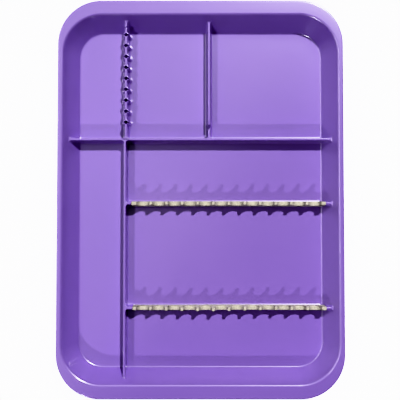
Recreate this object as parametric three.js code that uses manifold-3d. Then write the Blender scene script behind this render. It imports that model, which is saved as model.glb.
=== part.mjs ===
// A divided dental set-up tray of the standard B (Ritter) size, with two soft instrument rails.
// Millimetres, +Z up. The origin is the centre of the underside, +Y points to the bur wall's end.
//
// The tray is one moulding. It is drawn here as a shell and six walls that stand in it, each a solid
// of its own, 0.3 mm clear of what it grows out of. The two rails are separate rubber combs that
// straddle the low rack walls and pull straight up off them.

import * as THREE from "three";
import { mergeVertices } from "three/addons/utils/BufferGeometryUtils.js";
import Module from "manifold-3d";

const wasm = await Module();
wasm.setup();

// ---------------------------------------------------------------- driving dimensions

const GAP = 0.3; // clearance between neighbouring solids
const WALL = 2.2; // thickness of the moulding
const HEIGHT = 22.2; // underside to the crest of the rim
const OUTER = { x: 122.25, y: 169.85, r: 37.6 }; // half sizes and corner radius over the rim
const FLOOR = { x: 105.8, y: 145.6, r: 21.9 }; // where the sloping sides meet the floor
const SLOPE_RUN = 11.8; // how far the sides lean out between the floor and the crest of the rim
const CREST_ROUND = 1.0; // how far the rounded crest reaches to each side
const CREST_DIP = 0.1; // how much lower it is there, on the outside
const EDGE_DROP = 0.1; // the rim falls this much from its crest to its outer edge
const LIP_BOTTOM = 17.4; // lower edge of the rim's turned-down lip
const FOOT = { across: 1.5, up: 1.8 }; // slanted facet between the floor and the sloping sides
const CORNER_STEPS = 8; // straight pieces in each rounded corner

const DIVIDER = { top: 14.9, topWidth: 1.9, footWidth: 2.9 }; // a divider's top height and widths
const RACK_TOP = 8.2; // height of a rack wall under its rail

const CROSS_Y = 50.85; // divider that runs the full width
const LONG_X = -65.0; // divider below it, on the left
const CENTRE_X = 7.4; // divider above it, in the middle
const BUR_X = -64.2; // bur wall above it, on the left
const UPPER_RACK_Y = -4.4;
const LOWER_RACK_Y = -93.85;

const NOTCH = { y: 61.25, width: 4.4, bottom: 5.5 }; // dip in the centre divider's top
const BUR = {
  holes: 9,
  firstY: 65.5,
  pitch: 9.515,
  holeR: 1.45,
  bossR: 2.5,
  bottom: 3.4,
  top: 16.0, // this wall stands a little above the dividers
  slit: 0.9, // each hole's boss is split across the wall, so that it springs open
  slitBottom: 4.2,
  nick: { y: 148.0, width: 1.5, depth: 2.0 }, // small cut in its top, over the sloping side
  sides: 12, // of a drilled hole
  bossSides: 16,
};

const RAIL = {
  left: -59.3, // ends of the upper rail
  right: 107.4,
  lowerLeft: -57.95, // the lower rail starts a little further in
  scallops: 12,
  firstX: -49.25, // centre of the first scallop
  pitch: 13.385,
  scallopR: 5.35,
  scallopBottom: 9.9,
  tip: 16.9, // height of the teeth
  footWidth: 4.6,
  tipWidth: 2.9,
  foot: 3.6, // underside, clear of the floor and of the fillet at the rack wall's foot
  slotTop: 8.5, // the slot that takes the rack wall
  slotWidth: 2.3,
  scallopSteps: 10, // straight pieces in half a scallop's arc
};
const RACK_FOOT_WIDTH = 1.7; // the rack wall is slimmer where it goes into the rail
const RACK_TOP_WIDTH = 1.5;

const FAR = 200; // longer than any wall, for the tools that cut them

// ---------------------------------------------------------------- solids

// A closed three.js geometry as a manifold solid.
function solid(geometry) {
  const plain = geometry.clone();
  plain.deleteAttribute("normal");
  plain.deleteAttribute("uv");
  const merged = mergeVertices(plain, 1e-4);
  return new wasm.Manifold(
    new wasm.Mesh({
      numProp: 3,
      vertProperties: Float32Array.from(merged.attributes.position.array),
      triVerts: Uint32Array.from(merged.index.array),
    }),
  );
}

// A manifold solid as a flat-shaded three.js geometry.
function geometryOf(manifold) {
  const mesh = manifold.getMesh();
  const geometry = new THREE.BufferGeometry();
  geometry.setAttribute("position", new THREE.BufferAttribute(mesh.vertProperties, 3));
  geometry.setIndex(new THREE.BufferAttribute(mesh.triVerts, 1));
  geometry.computeVertexNormals();
  return geometry;
}

// Points of a rounded rectangle, counter-clockwise, the same number for every size.
function roundedRectangle(halfX, halfY, radius) {
  const corners = [
    [1, 1],
    [-1, 1],
    [-1, -1],
    [1, -1],
  ];
  return corners.flatMap(([sideX, sideY], quarter) => {
    const arc = new THREE.EllipseCurve(
      sideX * (halfX - radius),
      sideY * (halfY - radius),
      radius,
      radius,
      (quarter * Math.PI) / 2,
      ((quarter + 1) * Math.PI) / 2,
    );
    return arc.getPoints(CORNER_STEPS);
  });
}

// A closed skin through a list of rings {x, y, r, z}, with flat faces on the first and last.
function loft(rings) {
  const outlines = rings.map((ring) => roundedRectangle(ring.x, ring.y, ring.r));
  const count = outlines[0].length;
  const positions = outlines.flatMap((outline, i) => outline.flatMap((p) => [p.x, p.y, rings[i].z]));
  const index = [];
  for (let band = 0; band < rings.length - 1; band++) {
    const low = band * count;
    const high = low + count;
    for (let i = 0; i < count; i++) {
      const next = (i + 1) % count;
      index.push(low + i, low + next, high + next, low + i, high + next, high + i);
    }
  }
  const last = (rings.length - 1) * count;
  for (const [a, b, c] of THREE.ShapeUtils.triangulateShape(outlines[0], [])) {
    index.push(c, b, a, last + a, last + b, last + c);
  }
  const geometry = new THREE.BufferGeometry();
  geometry.setAttribute("position", new THREE.Float32BufferAttribute(positions, 3));
  geometry.setIndex(index);
  return geometry;
}

// A prism of an outline drawn in the plane across its run. The run goes along X or Y.
function prism(points, start, end, along) {
  const shape = new THREE.Shape(points.map(([across, up]) => new THREE.Vector2(across, up)));
  const geometry = new THREE.ExtrudeGeometry(shape, { depth: end - start, bevelEnabled: false });
  geometry.translate(0, 0, start);
  const basis = new THREE.Matrix4();
  if (along === "x") {
    // drawn x -> world y, drawn y -> world z, depth -> world x
    basis.makeBasis(new THREE.Vector3(0, 1, 0), new THREE.Vector3(0, 0, 1), new THREE.Vector3(1, 0, 0));
  } else {
    // drawn x -> world -x, drawn y -> world z, depth -> world y
    basis.makeBasis(new THREE.Vector3(-1, 0, 0), new THREE.Vector3(0, 0, 1), new THREE.Vector3(0, 1, 0));
  }
  geometry.applyMatrix4(basis);
  return geometry;
}

function boxBetween(low, high) {
  const size = high.map((value, i) => value - low[i]);
  const geometry = new THREE.BoxGeometry(...size);
  geometry.translate(...low.map((value, i) => value + size[i] / 2));
  return geometry;
}

function uprightCylinder(x, y, radius, bottom, top, sides) {
  const geometry = new THREE.CylinderGeometry(radius, radius, top - bottom, sides);
  geometry.rotateX(Math.PI / 2);
  geometry.translate(x, y, (bottom + top) / 2);
  return geometry;
}

// ---------------------------------------------------------------- the shell

const lean = SLOPE_RUN / (HEIGHT - WALL); // the sides' sideways run per unit of height
const slopeSkin = WALL * Math.hypot(1, lean); // the skin's sideways thickness on the slope

// The inside of the tray at a height, moved inwards by inset.
function insideRing(z, inset = 0) {
  const outwards = (z - WALL) * lean - inset;
  return { x: FLOOR.x + outwards, y: FLOOR.y + outwards, r: FLOOR.r + outwards, z };
}

// The sloping side's outer surface at a height.
function outsideRing(z) {
  return insideRing(z, -slopeSkin);
}

function rimRing(inset, z) {
  return { x: OUTER.x - inset, y: OUTER.y - inset, r: OUTER.r - inset, z };
}

function trayShell() {
  const underFlange = HEIGHT - EDGE_DROP - WALL;
  const rings = [
    outsideRing(0),
    outsideRing(underFlange),
    rimRing(WALL, underFlange),
    rimRing(WALL, LIP_BOTTOM),
    rimRing(0, LIP_BOTTOM),
    rimRing(0, HEIGHT - EDGE_DROP - CREST_ROUND),
    rimRing(CREST_ROUND, HEIGHT - EDGE_DROP),
    { ...insideRing(HEIGHT, -CREST_ROUND), z: HEIGHT - CREST_DIP },
    insideRing(HEIGHT),
    insideRing(HEIGHT - CREST_ROUND),
    insideRing(WALL + FOOT.up),
    insideRing(WALL, FOOT.across),
  ];
  return solid(loft(rings));
}

// The space inside the tray, shrunk by the gap, that every wall is cut to.
function cavity() {
  const rings = [
    { ...insideRing(WALL, FOOT.across + GAP), z: WALL + GAP },
    { ...insideRing(WALL + FOOT.up, GAP), z: WALL + FOOT.up + GAP },
    insideRing(HEIGHT, GAP + GAP),
  ];
  return solid(loft(rings));
}

// ---------------------------------------------------------------- the walls

function tapered(centre, foot, top, footWidth, topWidth) {
  return [
    [centre - footWidth / 2, foot],
    [centre + footWidth / 2, foot],
    [centre + topWidth / 2, top],
    [centre - topWidth / 2, top],
  ];
}

// A wall with the divider's section, along X at y = centre or along Y at x = centre.
function dividerWall(along, centre, start, end, top = DIVIDER.top) {
  const drawn = along === "x" ? centre : -centre;
  const section = tapered(drawn, 0, top, DIVIDER.footWidth, DIVIDER.topWidth);
  return solid(prism(section, start, end, along)).intersect(cavity());
}

const crossSide = DIVIDER.footWidth / 2 + GAP; // from a wall's centre line to what stops beside it

function crossDivider() {
  return dividerWall("x", CROSS_Y, -FAR, FAR);
}

function longDivider() {
  return dividerWall("y", LONG_X, -FAR, CROSS_Y - crossSide);
}

function centreDivider() {
  const notch = boxBetween(
    [CENTRE_X - FAR, NOTCH.y - NOTCH.width / 2, NOTCH.bottom],
    [CENTRE_X + FAR, NOTCH.y + NOTCH.width / 2, HEIGHT],
  );
  return dividerWall("y", CENTRE_X, CROSS_Y + crossSide, FAR).subtract(solid(notch));
}

function burRackWall() {
  let wall = dividerWall("y", BUR_X, CROSS_Y + crossSide, FAR, BUR.top);
  for (let i = 0; i < BUR.holes; i++) {
    const y = BUR.firstY + i * BUR.pitch;
    wall = wall.add(solid(uprightCylinder(BUR_X, y, BUR.bossR, WALL + GAP, BUR.top, BUR.bossSides)));
  }
  for (let i = 0; i < BUR.holes; i++) {
    const y = BUR.firstY + i * BUR.pitch;
    const slit = boxBetween(
      [BUR_X - FAR, y - BUR.slit / 2, BUR.slitBottom],
      [BUR_X + FAR, y + BUR.slit / 2, FAR],
    );
    wall = wall.subtract(solid(uprightCylinder(BUR_X, y, BUR.holeR, BUR.bottom, FAR, BUR.sides)));
    wall = wall.subtract(solid(slit));
  }
  const { y, width, depth } = BUR.nick;
  const nick = boxBetween([BUR_X - FAR, y - width / 2, BUR.top - depth], [BUR_X + FAR, y + width / 2, FAR]);
  return wall.subtract(solid(nick));
}

// A rack wall: full height beyond the ends of its rail, low and slim under the rail.
function rackWall(y, railLeft) {
  const start = LONG_X + crossSide;
  const low = tapered(y, 0, RACK_TOP, RACK_FOOT_WIDTH, RACK_TOP_WIDTH);
  const leftEnd = dividerWall("x", y, start, railLeft - GAP);
  const rightEnd = dividerWall("x", y, RAIL.right + GAP, FAR);
  return solid(prism(low, start, FAR, "x")).intersect(cavity()).add(leftEnd).add(rightEnd);
}

// ---------------------------------------------------------------- the rails

function instrumentRail(y, left) {
  const body = prism(tapered(y, RAIL.foot, RAIL.tip, RAIL.footWidth, RAIL.tipWidth), left, RAIL.right, "x");
  const slot = boxBetween(
    [-FAR, y - RAIL.slotWidth / 2, 0],
    [FAR, y + RAIL.slotWidth / 2, RAIL.slotTop],
  );
  let rail = solid(body).intersect(cavity()).subtract(solid(slot));
  const low = RAIL.scallopBottom + RAIL.scallopR;
  for (let i = 0; i < RAIL.scallops; i++) {
    const x = RAIL.firstX + i * RAIL.pitch;
    const shape = new THREE.Shape();
    shape.moveTo(x + RAIL.scallopR, HEIGHT);
    shape.lineTo(x - RAIL.scallopR, HEIGHT);
    shape.lineTo(x - RAIL.scallopR, low);
    shape.absarc(x, low, RAIL.scallopR, Math.PI, 2 * Math.PI, false);
    const scoop = new THREE.ExtrudeGeometry(shape, {
      depth: 2 * FAR,
      bevelEnabled: false,
      curveSegments: RAIL.scallopSteps,
    });
    scoop.rotateX(Math.PI / 2);
    scoop.translate(0, FAR, 0);
    rail = rail.subtract(solid(scoop));
  }
  return rail;
}

// ---------------------------------------------------------------- the object

const moulded = new THREE.MeshStandardMaterial({ color: 0x7a45cf, roughness: 0.42, metalness: 0 });
const rubber = new THREE.MeshStandardMaterial({ color: 0xc9c3b1, roughness: 0.75, metalness: 0 });

const group = new THREE.Group();

function addPart(name, manifold, material) {
  const mesh = new THREE.Mesh(geometryOf(manifold), material);
  mesh.name = name;
  group.add(mesh);
}

addPart("tray_shell", trayShell(), moulded);
addPart("cross_divider", crossDivider(), moulded);
addPart("long_divider", longDivider(), moulded);
addPart("centre_divider", centreDivider(), moulded);
addPart("bur_rack_wall", burRackWall(), moulded);
addPart("upper_rack_wall", rackWall(UPPER_RACK_Y, RAIL.left), moulded);
addPart("lower_rack_wall", rackWall(LOWER_RACK_Y, RAIL.lowerLeft), moulded);
addPart("upper_instrument_rail", instrumentRail(UPPER_RACK_Y, RAIL.left), rubber);
addPart("lower_instrument_rail", instrumentRail(LOWER_RACK_Y, RAIL.lowerLeft), rubber);

export default group;
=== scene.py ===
"""Looks for a divided dental set-up tray with two rubber instrument rails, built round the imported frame.

Lengths are in millimetres until a mesh is made, and in Blender's metres from there on.
A path or section is a list of 2D points; a ring is the outline of one slice of a closed body.
"""

import math

import bmesh
import bpy
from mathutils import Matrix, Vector


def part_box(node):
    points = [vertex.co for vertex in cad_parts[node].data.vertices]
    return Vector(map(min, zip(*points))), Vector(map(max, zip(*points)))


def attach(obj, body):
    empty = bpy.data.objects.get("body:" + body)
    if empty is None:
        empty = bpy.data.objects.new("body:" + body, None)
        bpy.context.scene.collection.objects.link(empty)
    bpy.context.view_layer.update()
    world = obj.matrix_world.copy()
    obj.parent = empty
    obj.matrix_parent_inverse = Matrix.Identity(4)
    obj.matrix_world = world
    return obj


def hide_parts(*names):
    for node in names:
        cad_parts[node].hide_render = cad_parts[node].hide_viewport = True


MM = 0.001
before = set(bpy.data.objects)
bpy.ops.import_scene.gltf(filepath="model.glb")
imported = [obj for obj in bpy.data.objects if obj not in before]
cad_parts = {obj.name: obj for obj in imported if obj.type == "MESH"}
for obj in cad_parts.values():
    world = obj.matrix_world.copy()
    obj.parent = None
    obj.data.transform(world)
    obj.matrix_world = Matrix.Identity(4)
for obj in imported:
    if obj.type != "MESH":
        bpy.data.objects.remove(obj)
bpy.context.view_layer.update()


def box_mm(node):
    low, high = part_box(node)
    return low / MM, high / MM


def middle(node, axis):
    low, high = box_mm(node)
    return (low[axis] + high[axis]) / 2


X, Y, Z = 0, 1, 2

# ---------------------------------------------------------------- driving dimensions

SHELL_HIGH = box_mm("tray_shell")[1]
HALF_X, HALF_Y, RIM_Z = SHELL_HIGH
WALL = 2.2  # thickness of the moulding, so also the height of the floor's top
OUTER_R = 37.6  # plan radius of the rim's outer edge
FLOOR_X = HALF_X - 16.45  # where the sloping sides would meet the floor, unfilleted
FLOOR_Y = HALF_Y - 24.25
FLOOR_R = 21.9
SLOPE_RUN = 11.8  # how far the sides lean out between the floor and the rim's crest
LEAN = SLOPE_RUN / (RIM_Z - WALL)
SLOPE_ANGLE = math.atan(1 / LEAN)
SKIN = WALL * math.hypot(1, LEAN)  # sideways thickness of a sloping side
EDGE_DROP = 0.1  # the rim falls this much from its crest to its outer edge
LIP_BOTTOM = 17.4
FOOT_R = 2.1  # fillet between the floor and the sides
CREST_R = 2.7
OUTER_EDGE_R = 1.3
UNDER_R = 2.0  # rounding where the underside turns up into the sides
UNDER_RIM_R = 1.1  # rounding where the sides meet the underside of the rim
LIP_R, LIP_INNER_R = 1.0, 0.5  # roundings of the turned-down lip
TOP_INSET, UNDER_INSET = 8, 18  # how far in from the foot the flat floor's outlines are drawn
RIM_FLAT, UNDER_FLAT, LIP_FLAT, EDGE_FLAT = 2.0, 1.0, 0.7, 1.6  # how far each flat of the rim is drawn
CORNER_STEPS = 22

CROSS_Y = middle("cross_divider", Y)
LONG_X = middle("long_divider", X)
CENTRE_X = middle("centre_divider", X)
BUR_X = middle("bur_rack_wall", X)
UPPER_Y = middle("upper_instrument_rail", Y)
LOWER_Y = middle("lower_instrument_rail", Y)
WALL_TOP = box_mm("cross_divider")[1].z
BUR_TOP = box_mm("bur_rack_wall")[1].z
RACK_TOP = 8.2  # a rack wall's height under its rail
HALF_TOP, HALF_FOOT = 0.95, 1.45  # half widths of a divider
RACK_HALF_TOP, RACK_HALF_FOOT = 0.72, 0.85
EDGE_R = 0.42  # rounding along a divider's top edges
FILLET = 2.0  # fillet along a divider's foot
CORNER_FILLET = 1.9  # upright fillet where one wall runs into another
END_FILLET = 1.6  # fillet where a divider's top runs into a sloping side
LONG_FILLET = 0.6  # the long divider's foot fillet is smaller
RAMP = 0.1  # how far the side of a cut in a wall's top leans over
CUT_R, NICK_R = 0.4, 0.3  # roundings of the cuts in the walls' tops
FAR = 999  # beyond either end of any wall

SINK = 0.015  # how far a hidden edge lies under the surface it grows out of
SKIRT = 0.4
DEPTH = 0.8  # how far a wall's underside reaches into the moulding below it


# ---------------------------------------------------------------- meshes


def make_object(name, points, faces):
    """A smooth mesh object from points in millimetres, its faces turned outwards."""
    mesh = bpy.data.meshes.new(name)
    mesh.from_pydata([tuple(c * MM for c in p) for p in points], [], faces)
    edit = bmesh.new()
    edit.from_mesh(mesh)
    bmesh.ops.recalc_face_normals(edit, faces=edit.faces)
    for face in edit.faces:
        face.smooth = True
    edit.to_mesh(mesh)
    edit.free()
    piece = bpy.data.objects.new(name, mesh)
    bpy.context.scene.collection.objects.link(piece)
    return piece


def loft(name, rings):
    """A closed body through rings of equally many 3D points, with a flat face on each end."""
    count = len(rings[0])
    points = [p for ring in rings for p in ring]
    faces = []
    for band in range(len(rings) - 1):
        for i in range(count):
            j = (i + 1) % count
            low, high = band * count, (band + 1) * count
            faces.append((low + i, low + j, high + j, high + i))
    faces.append(tuple(reversed(range(count))))
    faces.append(tuple(range((len(rings) - 1) * count, len(rings) * count)))
    return make_object(name, points, faces)


def rounded(corners, steps=8):
    """A path through corners (u, v, radius), each turned into an arc of that radius."""
    path = []
    for i, (u, v, radius) in enumerate(corners):
        here = Vector((u, v))
        if radius == 0 or i in (0, len(corners) - 1):
            path.append(here)
            continue
        back = (Vector(corners[i - 1][:2]) - here).normalized()
        ahead = (Vector(corners[i + 1][:2]) - here).normalized()
        half = back.angle(ahead) / 2
        centre = here + (back + ahead).normalized() * radius / math.sin(half)
        start = here + back * radius / math.tan(half) - centre
        end = here + ahead * radius / math.tan(half) - centre
        sweep = start.angle_signed(end)
        for k in range(steps + 1):
            angle = -sweep * k / steps
            turned = Vector(
                (
                    start.x * math.cos(angle) - start.y * math.sin(angle),
                    start.x * math.sin(angle) + start.y * math.cos(angle),
                )
            )
            path.append(centre + turned)
    return path


def height_on(path, s):
    """The height of a path (s, z), whose s never falls, at s."""
    for a, b in zip(path, path[1:]):
        if a.x <= s <= b.x and b.x > a.x:
            return a.y + (b.y - a.y) * (s - a.x) / (b.x - a.x)
    return path[0].y if s < path[0].x else path[-1].y


# ---------------------------------------------------------------- the shell


def rounded_rectangle(half_x, half_y, radius, z):
    points = []
    for quarter, (side_x, side_y) in enumerate(((1, 1), (-1, 1), (-1, -1), (1, -1))):
        for k in range(CORNER_STEPS + 1):
            angle = math.radians(90) * (quarter + k / CORNER_STEPS)
            x = side_x * (half_x - radius) + radius * math.cos(angle)
            y = side_y * (half_y - radius) + radius * math.sin(angle)
            points.append((x, y, z))
    return points


def slope_ring(outwards, z):
    return rounded_rectangle(FLOOR_X + outwards, FLOOR_Y + outwards, FLOOR_R + outwards, z)


def rim_ring(inwards, z):
    return rounded_rectangle(HALF_X - inwards, HALF_Y - inwards, OUTER_R - inwards, z)


INSIDE = rounded(
    [
        (SLOPE_RUN + RIM_FLAT, RIM_Z - 0.01, 0),
        (SLOPE_RUN, RIM_Z, CREST_R),
        (0, WALL, FOOT_R),
        (-TOP_INSET, WALL, 0),
    ],
    steps=12,
)


def tray_shell():
    under_rim = RIM_Z - EDGE_DROP - WALL
    underside = rounded(
        [
            (-UNDER_INSET, 0, 0),
            (SKIN - WALL * LEAN, 0, UNDER_R),
            (SKIN + (under_rim - WALL) * LEAN, under_rim, UNDER_RIM_R),
            (SKIN + (under_rim - WALL) * LEAN + UNDER_FLAT, under_rim, 0),
        ]
    )
    lip = rounded(
        [
            (WALL + LIP_FLAT, under_rim, 0),
            (WALL, under_rim, LIP_INNER_R),
            (WALL, LIP_BOTTOM, LIP_R),
            (0, LIP_BOTTOM, LIP_R),
            (0, RIM_Z - EDGE_DROP, OUTER_EDGE_R),
            (EDGE_FLAT, RIM_Z - EDGE_DROP * 0.3, 0),
        ]
    )
    rings = [slope_ring(*p) for p in underside]
    rings += [rim_ring(*p) for p in lip]
    rings += [slope_ring(*p) for p in INSIDE]
    return loft("moulded_shell", rings)


# ---------------------------------------------------------------- the walls


def run_up(outwards, level, radius):
    """Height of a flat at this level that runs into the sloping side through a fillet."""
    reach = radius * math.tan(SLOPE_ANGLE / 2)
    beyond = outwards - (level - WALL) * LEAN
    if beyond <= -reach:
        return level
    if beyond >= reach * math.cos(SLOPE_ANGLE):
        return level + beyond / LEAN
    return level + radius - math.sqrt(radius**2 - (beyond + reach) ** 2)


def corner_fillet(clear, radius):
    """How far a fillet of this radius stands out at a clear distance from what it meets."""
    if clear >= radius:
        return 0
    return radius - math.sqrt(radius**2 - (radius - max(clear, 0)) ** 2)


def side_at(z, half_top, half_foot):
    return half_foot + (half_top - half_foot) * (z - WALL) / (WALL_TOP - WALL)


class End:
    """One end of a wall: it dies into the sloping side, or butts into another wall."""

    def __init__(self, direction, foot=None, centre=None):
        self.direction = direction  # +1 or -1 along the wall's axis
        self.foot = foot  # half size of the floor, for a sloping end
        self.centre = centre  # centre line of the wall it butts into

    def clear(self, s, z):
        """Distance from s to the face, at height z, of the wall that this end butts into."""
        if self.centre is None:
            return CORNER_FILLET * 2
        return abs(s - self.centre) - side_at(z, HALF_TOP, HALF_FOOT)

    def base(self, s):
        if self.foot is not None:
            return run_up(s * self.direction - self.foot, WALL, FOOT_R)
        return WALL + corner_fillet(self.clear(s, WALL), FILLET)

    def top(self, s, level):
        if self.foot is None:
            return level
        return max(level, run_up(s * self.direction - self.foot, level, END_FILLET))

    def stops(self):
        """Positions, outermost first, where the wall needs a section near this end."""
        if self.foot is None:
            inner = HALF_TOP - EDGE_R - 0.1
            marks = [inner, HALF_TOP, HALF_FOOT]
            marks += [HALF_FOOT + CORNER_FILLET * (k / 10) ** 1.6 for k in range(1, 11)]
            return [self.centre - self.direction * m for m in marks]
        far = (WALL_TOP - WALL) * LEAN + END_FILLET
        steps = 26
        return [self.direction * (self.foot + far - (far + 4) * k / steps) for k in range(steps + 1)]


def wall_half(base, top, side, flare, on_slope, spread):
    """Right half of a wall's section, from the middle of its top to its buried edge."""
    depth = top - base
    edge = min(EDGE_R, depth * 0.3)
    tall = FILLET * (1 + (1 / LEAN - 1) * on_slope)
    cut = max(0, 1 - max(depth - edge, 0) / tall)
    start = math.asin(min(cut, 1))
    foot_side = side(base + tall) if depth > tall else side(top)

    def fillet_point(angle):
        z = base + tall * (1 - math.sin(angle))
        out = foot_side + flare(z) + spread * (1 - math.cos(angle))
        return (out, z)

    shoulder = side(top - edge) + flare(top - edge)
    shoulder = max(shoulder, fillet_point(start)[0] if cut > 0 else 0)
    rows = [(0, top), ((shoulder - edge) / 2, top)]
    for k in range(5):
        angle = math.radians(90) * k / 4
        rows.append((shoulder - edge + edge * math.sin(angle), top - edge + edge * math.cos(angle)))
    low_z = fillet_point(start)[1]
    for k in range(1, 4):
        z = top - edge + (low_z - top + edge) * k / 4
        rows.append((max(side(z) + flare(z), fillet_point(start)[0] if cut > 0 else 0), z))
    for k in range(9):
        rows.append(fillet_point(start + (math.radians(90) - start) * k / 8))
    out = rows[-1][0] + SKIRT
    rows.append((out, base - SINK))
    rows.append((out, base - DEPTH))
    return rows


def merged(values, least=0.02):
    """The values in rising order, without any that are closer together than this."""
    kept = []
    for value in sorted(values):
        if not kept or value - kept[-1] > least:
            kept.append(value)
    return kept


def wall(name, along, centre, ends, top_line=None, halves=None, bulge=None, extra=()):
    """A moulded wall on its centre line, with filleted foot, rounded top and flared ends.

    top_line is a path (s, z) of the top's height, halves(s) gives its half widths (top, foot, fillet)
    and bulge(s) what each side stands out by, where these aren't the same all along.
    extra lists further positions that need a section."""
    top_line = top_line or [Vector((-FAR, WALL_TOP)), Vector((FAR, WALL_TOP))]
    halves = halves or (lambda s: (HALF_TOP, HALF_FOOT, FILLET))
    bulge = bulge or (lambda s: 0)
    low, high = ends
    stops = low.stops() + high.stops() + list(extra)
    span = (min(low.stops()), max(high.stops()))
    stops += [p.x for p in top_line if span[0] < p.x < span[1]]
    stops = merged(stops)
    filled = list(stops)
    for a, b in zip(stops, stops[1:]):
        gaps = int((b - a) // 6)
        filled += [a + (b - a) * k / (gaps + 1) for k in range(1, gaps + 1)]
    rings = []
    for s in merged(filled):
        nearer = low if s < (span[0] + span[1]) / 2 else high
        half_top, half_foot, spread = halves(s)
        level = height_on(top_line, s)
        base = nearer.base(s)
        top = nearer.top(s, level)
        if nearer.foot is not None and top - base < 0.01:
            base -= SINK
            top = base
        if nearer.foot is None and nearer.clear(s, WALL_TOP) < -EDGE_R:
            top -= SINK
        slope_share = 0
        if nearer.foot is not None:
            slope_share = min(max((s * nearer.direction - nearer.foot + 1) / 2, 0), 1)

        def side(z, s=s, half_top=half_top, half_foot=half_foot):
            return side_at(z, half_top, half_foot) + bulge(s)

        def flare(z, s=s, nearer=nearer):
            return corner_fillet(nearer.clear(s, z), CORNER_FILLET)

        half = wall_half(base, top, side, flare, slope_share, spread)
        section = half + [(-q, z) for q, z in reversed(half[1:])]
        if along == X:
            rings.append([(s, centre + q, z) for q, z in section])
        else:
            rings.append([(centre + q, s, z) for q, z in section])
    return loft(name, rings)


def cross_divider():
    return wall("moulded_cross_divider", X, CROSS_Y, (End(-1, foot=FLOOR_X), End(1, foot=FLOOR_X)))


def long_divider():
    ends = (End(-1, foot=FLOOR_Y), End(1, centre=CROSS_Y))
    halves = (HALF_TOP, HALF_FOOT, LONG_FILLET)
    return wall("moulded_long_divider", Y, LONG_X, ends, halves=lambda s: halves)


NOTCH_Y, NOTCH_HALF, NOTCH_Z = 61.25, 2.2, 5.5


def centre_divider():
    start, end = NOTCH_Y - NOTCH_HALF, NOTCH_Y + NOTCH_HALF
    top_line = rounded(
        [
            (0, WALL_TOP, 0),
            (start, WALL_TOP, CUT_R),
            (start + RAMP, NOTCH_Z, CUT_R),
            (end - RAMP, NOTCH_Z, CUT_R),
            (end, WALL_TOP, CUT_R),
            (FAR, WALL_TOP, 0),
        ],
        steps=4,
    )
    ends = (End(-1, centre=CROSS_Y), End(1, foot=FLOOR_Y))
    return wall("moulded_centre_divider", Y, CENTRE_X, ends, top_line)


BUR_HOLES, BUR_FIRST_Y, BUR_PITCH = 9, 65.5, 9.515
BUR_HOLE_R, BUR_BOSS_R, BUR_HOLE_BOTTOM = 1.45, 2.5, 3.4
SLIT, SLIT_BOTTOM, SLIT_REACH = 0.9, 4.2, 4
NICK_Y, NICK_HALF, NICK_DEPTH = 148.0, 0.75, 2.0


def bur_boss_bulge(s):
    """How far the wall's side stands out at s, round the nearest bur hole."""
    nearest = min(range(BUR_HOLES), key=lambda i: abs(s - BUR_FIRST_Y - i * BUR_PITCH))
    away = abs(s - BUR_FIRST_Y - nearest * BUR_PITCH)
    if away >= BUR_BOSS_R:
        return 0
    return max(0, math.sqrt(BUR_BOSS_R**2 - away**2) - (HALF_TOP + HALF_FOOT) / 2)


def cutter(name, points, faces):
    piece = make_object(name, points, faces)
    piece.hide_render = True
    return piece


def prism_cutter(name, outline, bottom, top):
    """A closed upright prism of a plan outline."""
    count = len(outline)
    points = [(x, y, bottom) for x, y in outline] + [(x, y, top) for x, y in outline]
    faces = [(i, (i + 1) % count, (i + 1) % count + count, i + count) for i in range(count)]
    faces += [tuple(reversed(range(count))), tuple(range(count, 2 * count))]
    return cutter(name, points, faces)


def cut(piece, tool):
    modifier = piece.modifiers.new("cut", "BOOLEAN")
    modifier.operation = "DIFFERENCE"
    modifier.solver = "EXACT"
    modifier.object = tool
    bpy.context.view_layer.objects.active = piece
    bpy.ops.object.modifier_apply(modifier=modifier.name)
    bpy.data.objects.remove(tool)


def bur_wall():
    around = [BUR_BOSS_R * math.cos(math.radians(15 * k)) for k in range(13)]
    extra = [BUR_FIRST_Y + i * BUR_PITCH + a for i in range(BUR_HOLES) for a in around]
    ends = (End(-1, centre=CROSS_Y), End(1, foot=FLOOR_Y))
    top_line = rounded(
        [
            (-FAR, BUR_TOP, 0),
            (NICK_Y - NICK_HALF, BUR_TOP, NICK_R),
            (NICK_Y - NICK_HALF + RAMP, BUR_TOP - NICK_DEPTH, NICK_R),
            (NICK_Y + NICK_HALF - RAMP, BUR_TOP - NICK_DEPTH, NICK_R),
            (NICK_Y + NICK_HALF, BUR_TOP, NICK_R),
            (FAR, BUR_TOP, 0),
        ],
        steps=3,
    )
    piece = wall("moulded_bur_wall", Y, BUR_X, ends, top_line, bulge=bur_boss_bulge, extra=extra)
    for i in range(BUR_HOLES):
        y = BUR_FIRST_Y + i * BUR_PITCH
        turns = [math.radians(15 * k) for k in range(24)]
        circle = [(BUR_X + BUR_HOLE_R * math.cos(t), y + BUR_HOLE_R * math.sin(t)) for t in turns]
        cut(piece, prism_cutter("hole", circle, BUR_HOLE_BOTTOM, RIM_Z))
        across = ((-SLIT_REACH, -1), (SLIT_REACH, -1), (SLIT_REACH, 1), (-SLIT_REACH, 1))
        slit = [(BUR_X + x, y + side * SLIT / 2) for x, side in across]
        cut(piece, prism_cutter("slit", slit, SLIT_BOTTOM, RIM_Z))
    piece.data.set_sharp_from_angle(angle=math.radians(40))
    return piece


GAP_HIGH, GAP_LOW = 0.3, 0.2  # from a rail's end to the tall end of its rack wall, at top and foot
RAIL_ROOM = 0.5  # from a rail's right end to the sloping side
FADE_FROM, FADE_RUN, FADED_FILLET = 2.5, 2.0, 0.1  # the fillet's fading out under a rail's right end


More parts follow.
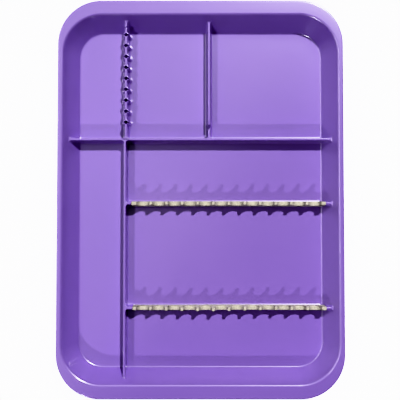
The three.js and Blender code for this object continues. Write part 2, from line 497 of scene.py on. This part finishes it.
def rack_wall(name, centre, rail_left, rail_right):
    """Full height beyond the rail's ends, low and slim where the rail sits on it."""
    top_line = rounded(
        [
            (-FAR, WALL_TOP, 0),
            (rail_left - GAP_HIGH, WALL_TOP, CUT_R),
            (rail_left - GAP_LOW, RACK_TOP, CUT_R),
            (rail_right + GAP_LOW, RACK_TOP, CUT_R),
            (rail_right + GAP_HIGH, WALL_TOP, CUT_R),
            (FAR, WALL_TOP, 0),
        ],
        steps=4,
    )

    def halves(s):
        """Under the rail the fillet fades out before the sloping side, to leave the rail room."""
        if rail_left - GAP_HIGH < s < rail_right + GAP_HIGH:
            fade = min(max((s - FLOOR_X + FADE_FROM) / FADE_RUN, 0), 1)
            fillet = HALF_FOOT + FILLET - RACK_HALF_FOOT
            return (RACK_HALF_TOP, RACK_HALF_FOOT, fillet + (FADED_FILLET - fillet) * fade)
        return (HALF_TOP, HALF_FOOT, FILLET)

    ends = (End(-1, centre=LONG_X), End(1, foot=FLOOR_X))
    return wall(name, X, centre, ends, top_line, halves)


# ---------------------------------------------------------------- the rails

SCALLOPS, FIRST_SCALLOP_X, SCALLOP_PITCH = 12, -49.25, 13.385
SCALLOP_R, SCALLOP_BOTTOM = 5.35, 9.9
TIP_R = 0.8  # rounding of a tooth's tip, seen from the front
RAIL_EDGE = 0.5  # rounding between a rail's faces and its top
RAIL_HALF_FOOT, RAIL_HALF_TIP = 2.3, 1.45
RAIL_MID = 8.8  # below this a rail is plain
SLOT_HALF, SLOT_TOP = 1.05, 8.45
SLOT_FOOT_CHAMFER, SLOT_TOP_CHAMFER = 0.2, 0.3
ROW_GAP = 1.5  # from a rail's plain part and its foot to the next row of points
TOOTH_REACH = 9  # how far along a tooth's top a corner's line is aimed, for its direction only


def comb_path(left, right, tip):
    """The rail's top outline from left to right as a path (x, z), with rounded teeth."""
    corners = [(left, RAIL_MID, 0), (left, tip, TIP_R)]
    path = rounded(corners + [(left + TOOTH_REACH, tip, 0)], steps=5)[:-1]
    arc_z = SCALLOP_BOTTOM + SCALLOP_R
    for i in range(SCALLOPS):
        x = FIRST_SCALLOP_X + i * SCALLOP_PITCH
        fall = [(x - TOOTH_REACH, tip, 0), (x - SCALLOP_R, tip, TIP_R), (x - SCALLOP_R, arc_z, 0)]
        path += rounded(fall, 5)[1:-1]
        for k in range(21):
            angle = math.radians(180) * (1 + k / 20)
            path.append(Vector((x + SCALLOP_R * math.cos(angle), arc_z + SCALLOP_R * math.sin(angle))))
        rise = [(x + SCALLOP_R, arc_z, 0), (x + SCALLOP_R, tip, TIP_R), (x + TOOTH_REACH, tip, 0)]
        path += rounded(rise, 5)[1:-1]
    path += rounded([(right - TOOTH_REACH, tip, 0), (right, tip, TIP_R), (right, RAIL_MID, 0)], 5)[1:]
    return path


def path_normals(path):
    """For each point of a path, the unit direction into the material below it."""
    normals = []
    for i, point in enumerate(path):
        before = path[max(i - 1, 0)]
        after = path[min(i + 1, len(path) - 1)]
        along = (after - before).normalized()
        normals.append(Vector((along.y, -along.x)))
    return normals


def rail_end(right, z):
    """Where the rail ends at height z, clear of the sloping side."""
    return min(right, FLOOR_X + (z - WALL) * LEAN - RAIL_ROOM)


def rail_half_width(z, foot, tip):
    share = (z - foot) / (tip - foot)
    return RAIL_HALF_FOOT + (RAIL_HALF_TIP - RAIL_HALF_FOOT) * share


def instrument_rail(name, node, lean, sway):
    """A rubber comb that straddles its rack wall. lean(x) is how far its teeth bend over,
    and sway(x) how far it wanders off its line, both in millimetres along Y."""
    low, high = box_mm(node)
    centre = (low.y + high.y) / 2
    left, right, foot, tip = low.x, high.x, low.z, high.z
    path = comb_path(left, right, tip)
    normals = path_normals(path)
    travelled = [0]
    for a, b in zip(path, path[1:]):
        travelled.append(travelled[-1] + (b - a).length)
    rings = []
    for point, inward, way in zip(path, normals, travelled):
        share = way / travelled[-1]

        def low_point(half, z, share=share):
            return (left + (rail_end(right, z) - left) * share, half, z)

        section = []
        for k in range(6):
            angle = math.radians(90) * k / 5
            inset = RAIL_EDGE * (1 - math.cos(angle))
            p = point + inward * inset
            half = rail_half_width(p.y, foot, tip) - RAIL_EDGE * (1 - math.sin(angle))
            section.append((p.x, half, p.y))
        section.insert(0, (point.x, 0, point.y))
        for z in (RAIL_MID, RAIL_MID - ROW_GAP, foot + ROW_GAP, foot + RAIL_EDGE):
            section.append(low_point(rail_half_width(z, foot, tip), z))
        for k in range(1, 5):
            angle = math.radians(90) * k / 4
            half = RAIL_HALF_FOOT - RAIL_EDGE * (1 - math.cos(angle))
            section.append(low_point(half, foot + RAIL_EDGE * (1 - math.sin(angle))))
        section.append(low_point(SLOT_HALF + SLOT_FOOT_CHAMFER, foot))
        section.append(low_point(SLOT_HALF, foot + SLOT_FOOT_CHAMFER))
        section.append(low_point(SLOT_HALF, SLOT_TOP - SLOT_TOP_CHAMFER))
        section.append(low_point(SLOT_HALF - SLOT_TOP_CHAMFER, SLOT_TOP))
        both = section + [(x, -q, z) for x, q, z in reversed(section[1:])]
        ring = []
        for x, q, z in both:
            raised = max(z - RAIL_MID, 0) / (tip - RAIL_MID)
            ring.append((x, centre + q + sway(x) + lean(x) * raised**1.3, z))
        rings.append(ring)
    return loft(name, rings)


def bump_shape(x, middle_x, half_span):
    """1 at middle_x, falling smoothly to 0 at half_span on either side."""
    away = min(abs(x - middle_x) / half_span, 1)
    return (1 + math.cos(math.pi * away)) / 2


def upper_lean(x):
    return -0.12 * math.sin(x / 19)


def upper_sway(x):
    return 0.1 * math.sin(x / 31 + 1)


def lower_lean(x):
    return -1.15 * bump_shape(x, 10, 60)


def lower_sway(x):
    return 0.15 * math.sin(x / 23)


# ---------------------------------------------------------------- materials


def new_material(name):
    material = bpy.data.materials.new(name)
    material.use_nodes = True
    tree = material.node_tree
    shader = tree.nodes["Principled BSDF"]
    return material, tree, shader


def add_node(tree, kind, **inputs):
    made = tree.nodes.new(kind)
    for key, value in inputs.items():
        made.inputs[key.replace("_", " ")].default_value = value
    return made


def noise(tree, coordinates, scale, detail, roughness):
    made = add_node(tree, "ShaderNodeTexNoise", Scale=scale, Detail=detail, Roughness=roughness)
    tree.links.new(coordinates, made.inputs["Vector"])
    return made.outputs["Fac"]


def ramp(tree, factor, stops):
    """A colour ramp with stops [(position, (r, g, b)), ...]."""
    made = tree.nodes.new("ShaderNodeValToRGB")
    elements = made.color_ramp.elements
    while len(elements) < len(stops):
        elements.new(0.5)
    for element, (position, colour) in zip(elements, stops):
        element.position = position
        element.color = (*colour, 1)
    tree.links.new(factor, made.inputs["Fac"])
    return made.outputs["Color"]


def stretched(tree, coordinates, factors, turn):
    made = tree.nodes.new("ShaderNodeMapping")
    made.inputs["Scale"].default_value = factors
    made.inputs["Rotation"].default_value = (0, 0, turn)
    tree.links.new(coordinates, made.inputs["Vector"])
    return made.outputs["Vector"]


def bump(tree, height, strength, distance, normal=None):
    made = add_node(tree, "ShaderNodeBump", Strength=strength, Distance=distance)
    tree.links.new(height, made.inputs["Height"])
    if normal is not None:
        tree.links.new(normal, made.inputs["Normal"])
    return made.outputs["Normal"]


def mapped(tree, factor, low, high):
    """A factor from 0 to 1 mapped on to a range."""
    made = tree.nodes.new("ShaderNodeMapRange")
    made.inputs["To Min"].default_value = low
    made.inputs["To Max"].default_value = high
    tree.links.new(factor, made.inputs["Value"])
    return made.outputs["Result"]


def purple_plastic():
    material, tree, shader = new_material("purple_plastic")
    spot = tree.nodes.new("ShaderNodeTexCoord").outputs["Object"]
    clouds = noise(tree, spot, 9, 3, 0.5)
    colour = ramp(tree, clouds, [(0.3, (0.350, 0.249, 0.567)), (0.7, (0.368, 0.263, 0.585))])
    tree.links.new(colour, shader.inputs["Base Color"])
    scuffs = noise(tree, stretched(tree, spot, (40, 900, 200), math.radians(24)), 1, 3, 0.6)
    tree.links.new(mapped(tree, scuffs, 0.30, 0.36), shader.inputs["Roughness"])
    peel = noise(tree, spot, 1500, 2, 0.5)
    waves = noise(tree, spot, 60, 2, 0.5)
    swell = bump(tree, waves, 0.08, 0.001)
    tree.links.new(bump(tree, peel, 0.06, 0.0002, swell), shader.inputs["Normal"])
    shader.inputs["Specular IOR Level"].default_value = 0.5
    shader.inputs["IOR"].default_value = 1.5
    shader.inputs["Coat Weight"].default_value = 1.0
    shader.inputs["Coat Roughness"].default_value = 0.18
    shader.inputs["Coat IOR"].default_value = 2.3
    return material


def rail_rubber():
    material, tree, shader = new_material("rail_rubber")
    spot = tree.nodes.new("ShaderNodeTexCoord").outputs["Object"]
    mottle = noise(tree, spot, 700, 4, 0.65)
    colour = ramp(tree, mottle, [(0.35, (0.47, 0.448, 0.39)), (0.65, (0.60, 0.572, 0.495))])
    tree.links.new(colour, shader.inputs["Base Color"])
    grain = noise(tree, spot, 2600, 3, 0.6)
    tree.links.new(bump(tree, grain, 0.35, 0.0003), shader.inputs["Normal"])
    shader.inputs["Roughness"].default_value = 0.62
    shader.inputs["Specular IOR Level"].default_value = 0.4
    return material


# ---------------------------------------------------------------- the pieces


def fit_piece(piece, body, slot, material, *nodes):
    piece.data.materials.append(material)
    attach(piece, body)
    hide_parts(*nodes)


def tray_and_rails():
    plastic = purple_plastic()
    rubber = rail_rubber()
    upper_low, upper_high = box_mm("upper_instrument_rail")
    lower_low, lower_high = box_mm("lower_instrument_rail")
    moulded = {
        "tray_shell": tray_shell(),
        "cross_divider": cross_divider(),
        "long_divider": long_divider(),
        "centre_divider": centre_divider(),
        "bur_rack_wall": bur_wall(),
        "upper_rack_wall": rack_wall("moulded_upper_rack_wall", UPPER_Y, upper_low.x, upper_high.x),
        "lower_rack_wall": rack_wall("moulded_lower_rack_wall", LOWER_Y, lower_low.x, lower_high.x),
    }
    for cad_node, piece in moulded.items():
        fit_piece(piece, "tray", "tray_plastic", plastic, cad_node)
    upper = instrument_rail("rubber_upper_rail", "upper_instrument_rail", upper_lean, upper_sway)
    fit_piece(upper, "upper_rail", "rail_rubber", rubber, "upper_instrument_rail")
    lower = instrument_rail("rubber_lower_rail", "lower_instrument_rail", lower_lean, lower_sway)
    fit_piece(lower, "lower_rail", "rail_rubber", rubber, "lower_instrument_rail")


# ---------------------------------------------------------------- floor, light, camera


FLOOR_REACH = 40.0  # metres; half the floor's side, so that its far edge is never in view
SEEN_LEVEL, BOUNCE_LEVEL = -0.0002, -0.0004  # metres, just under the tray
FLOOR_GLOW = 1.6  # enough for the floor to be white in the picture


def floor_sheet(name, level, glow):
    """A wide flat sheet of pale floor at a level in metres, that glows a little of itself."""
    mesh = bpy.data.meshes.new(name)
    corners = ((-1, -1), (1, -1), (1, 1), (-1, 1))
    mesh.from_pydata([(x * FLOOR_REACH, y * FLOOR_REACH, 0) for x, y in corners], [], [(0, 1, 2, 3)])
    sheet = bpy.data.objects.new(name, mesh)
    sheet.location.z = level
    bpy.context.scene.collection.objects.link(sheet)
    material, _, shader = new_material(name)
    shader.inputs["Base Color"].default_value = (0.8, 0.8, 0.81, 1)
    shader.inputs["Roughness"].default_value = 0.9
    shader.inputs["Emission Color"].default_value = (1, 1, 1, 1)
    shader.inputs["Emission Strength"].default_value = glow
    mesh.materials.append(material)
    return sheet


def pale_floor():
    """Two sheets. The camera sees a white one that lights nothing, and the plain one below it,
    which the camera doesn't see, returns light to the tray's outer sides."""
    seen = floor_sheet("pale_floor", SEEN_LEVEL, FLOOR_GLOW)
    seen.visible_diffuse = False
    seen.visible_glossy = False
    seen.visible_shadow = False
    bounce = floor_sheet("pale_floor_bounce", BOUNCE_LEVEL, 0.0)
    bounce.visible_camera = False


KEY_FROM = (0.26, 0.50, 0.84)  # directions
FILL_FROM = (-0.34, -0.70, 0.63)
WINDOW_FROM = (-0.66, 0.36, 0.66)
STRIP_PLACE = (-2.8, 1.0, 5.2)  # metres
GLINT_PLACE = (1.1, 2.9, 4.9)


def add_lamp(name, kind, from_there):
    """A lamp that shines towards the origin from a direction or a place."""
    data = bpy.data.lights.new(name, kind)
    lamp = bpy.data.objects.new(name, data)
    lamp.rotation_mode = "QUATERNION"
    lamp.rotation_quaternion = Vector(from_there).to_track_quat("Z", "Y")
    bpy.context.scene.collection.objects.link(lamp)
    return lamp


def sun(name, from_there, strength, spread_degrees):
    """A light at no particular distance. A wide spread makes it soft."""
    lamp = add_lamp(name, "SUN", from_there)
    lamp.data.energy = strength
    lamp.data.angle = math.radians(spread_degrees)


def softbox(name, place, size, power):
    """A rectangular light at a place in metres: its first size is level, its second upright."""
    lamp = add_lamp(name, "AREA", place)
    lamp.location = place
    lamp.data.shape = "RECTANGLE"
    lamp.data.size, lamp.data.size_y = size
    lamp.data.energy = power
    return lamp


def studio_light():
    """The key and the fill throw the two shadows, the window is soft, and the glint only reflects."""
    sun("key", KEY_FROM, 1.9, 2.5)
    sun("fill", FILL_FROM, 0.62, 1.0)
    sun("window", WINDOW_FROM, 0.48, 96)
    softbox("strip", STRIP_PLACE, (2.8, 0.4), 20)
    glint = softbox("glint", GLINT_PLACE, (0.6, 0.4), 15)
    glint.visible_diffuse = False


def white_surroundings():
    """White beyond the floor, lighting nothing."""
    world = bpy.data.worlds.new("studio")
    bpy.context.scene.world = world
    world.use_nodes = True
    background = world.node_tree.nodes["Background"]
    background.inputs["Color"].default_value = (1, 1, 1, 1)
    background.inputs["Strength"].default_value = 2.0
    world.cycles_visibility.diffuse = False
    world.cycles_visibility.glossy = False


EYE = Vector((-0.0004, -0.0334, 0.726))  # metres
TARGET = Vector((-0.0004, -0.0008, 0))


def camera():
    """Almost straight above, as in the photograph."""
    data = bpy.data.cameras.new("camera")
    data.sensor_width = 36
    data.lens = 74.7
    data.clip_start = 0.01
    data.clip_end = 100
    eye = bpy.data.objects.new("camera", data)
    eye.location = EYE
    eye.rotation_mode = "QUATERNION"
    eye.rotation_quaternion = (TARGET - EYE).to_track_quat("-Z", "Y")
    bpy.context.scene.collection.objects.link(eye)
    bpy.context.scene.camera = eye


def picture_tone():
    tone = bpy.context.scene.view_settings
    tone.view_transform = "Khronos PBR Neutral"
    tone.look = "Very High Contrast"
    tone.gamma = 0.88
    tone.exposure = 0.16


picture_tone()
camera()
studio_light()
white_surroundings()
pale_floor()
tray_and_rails()
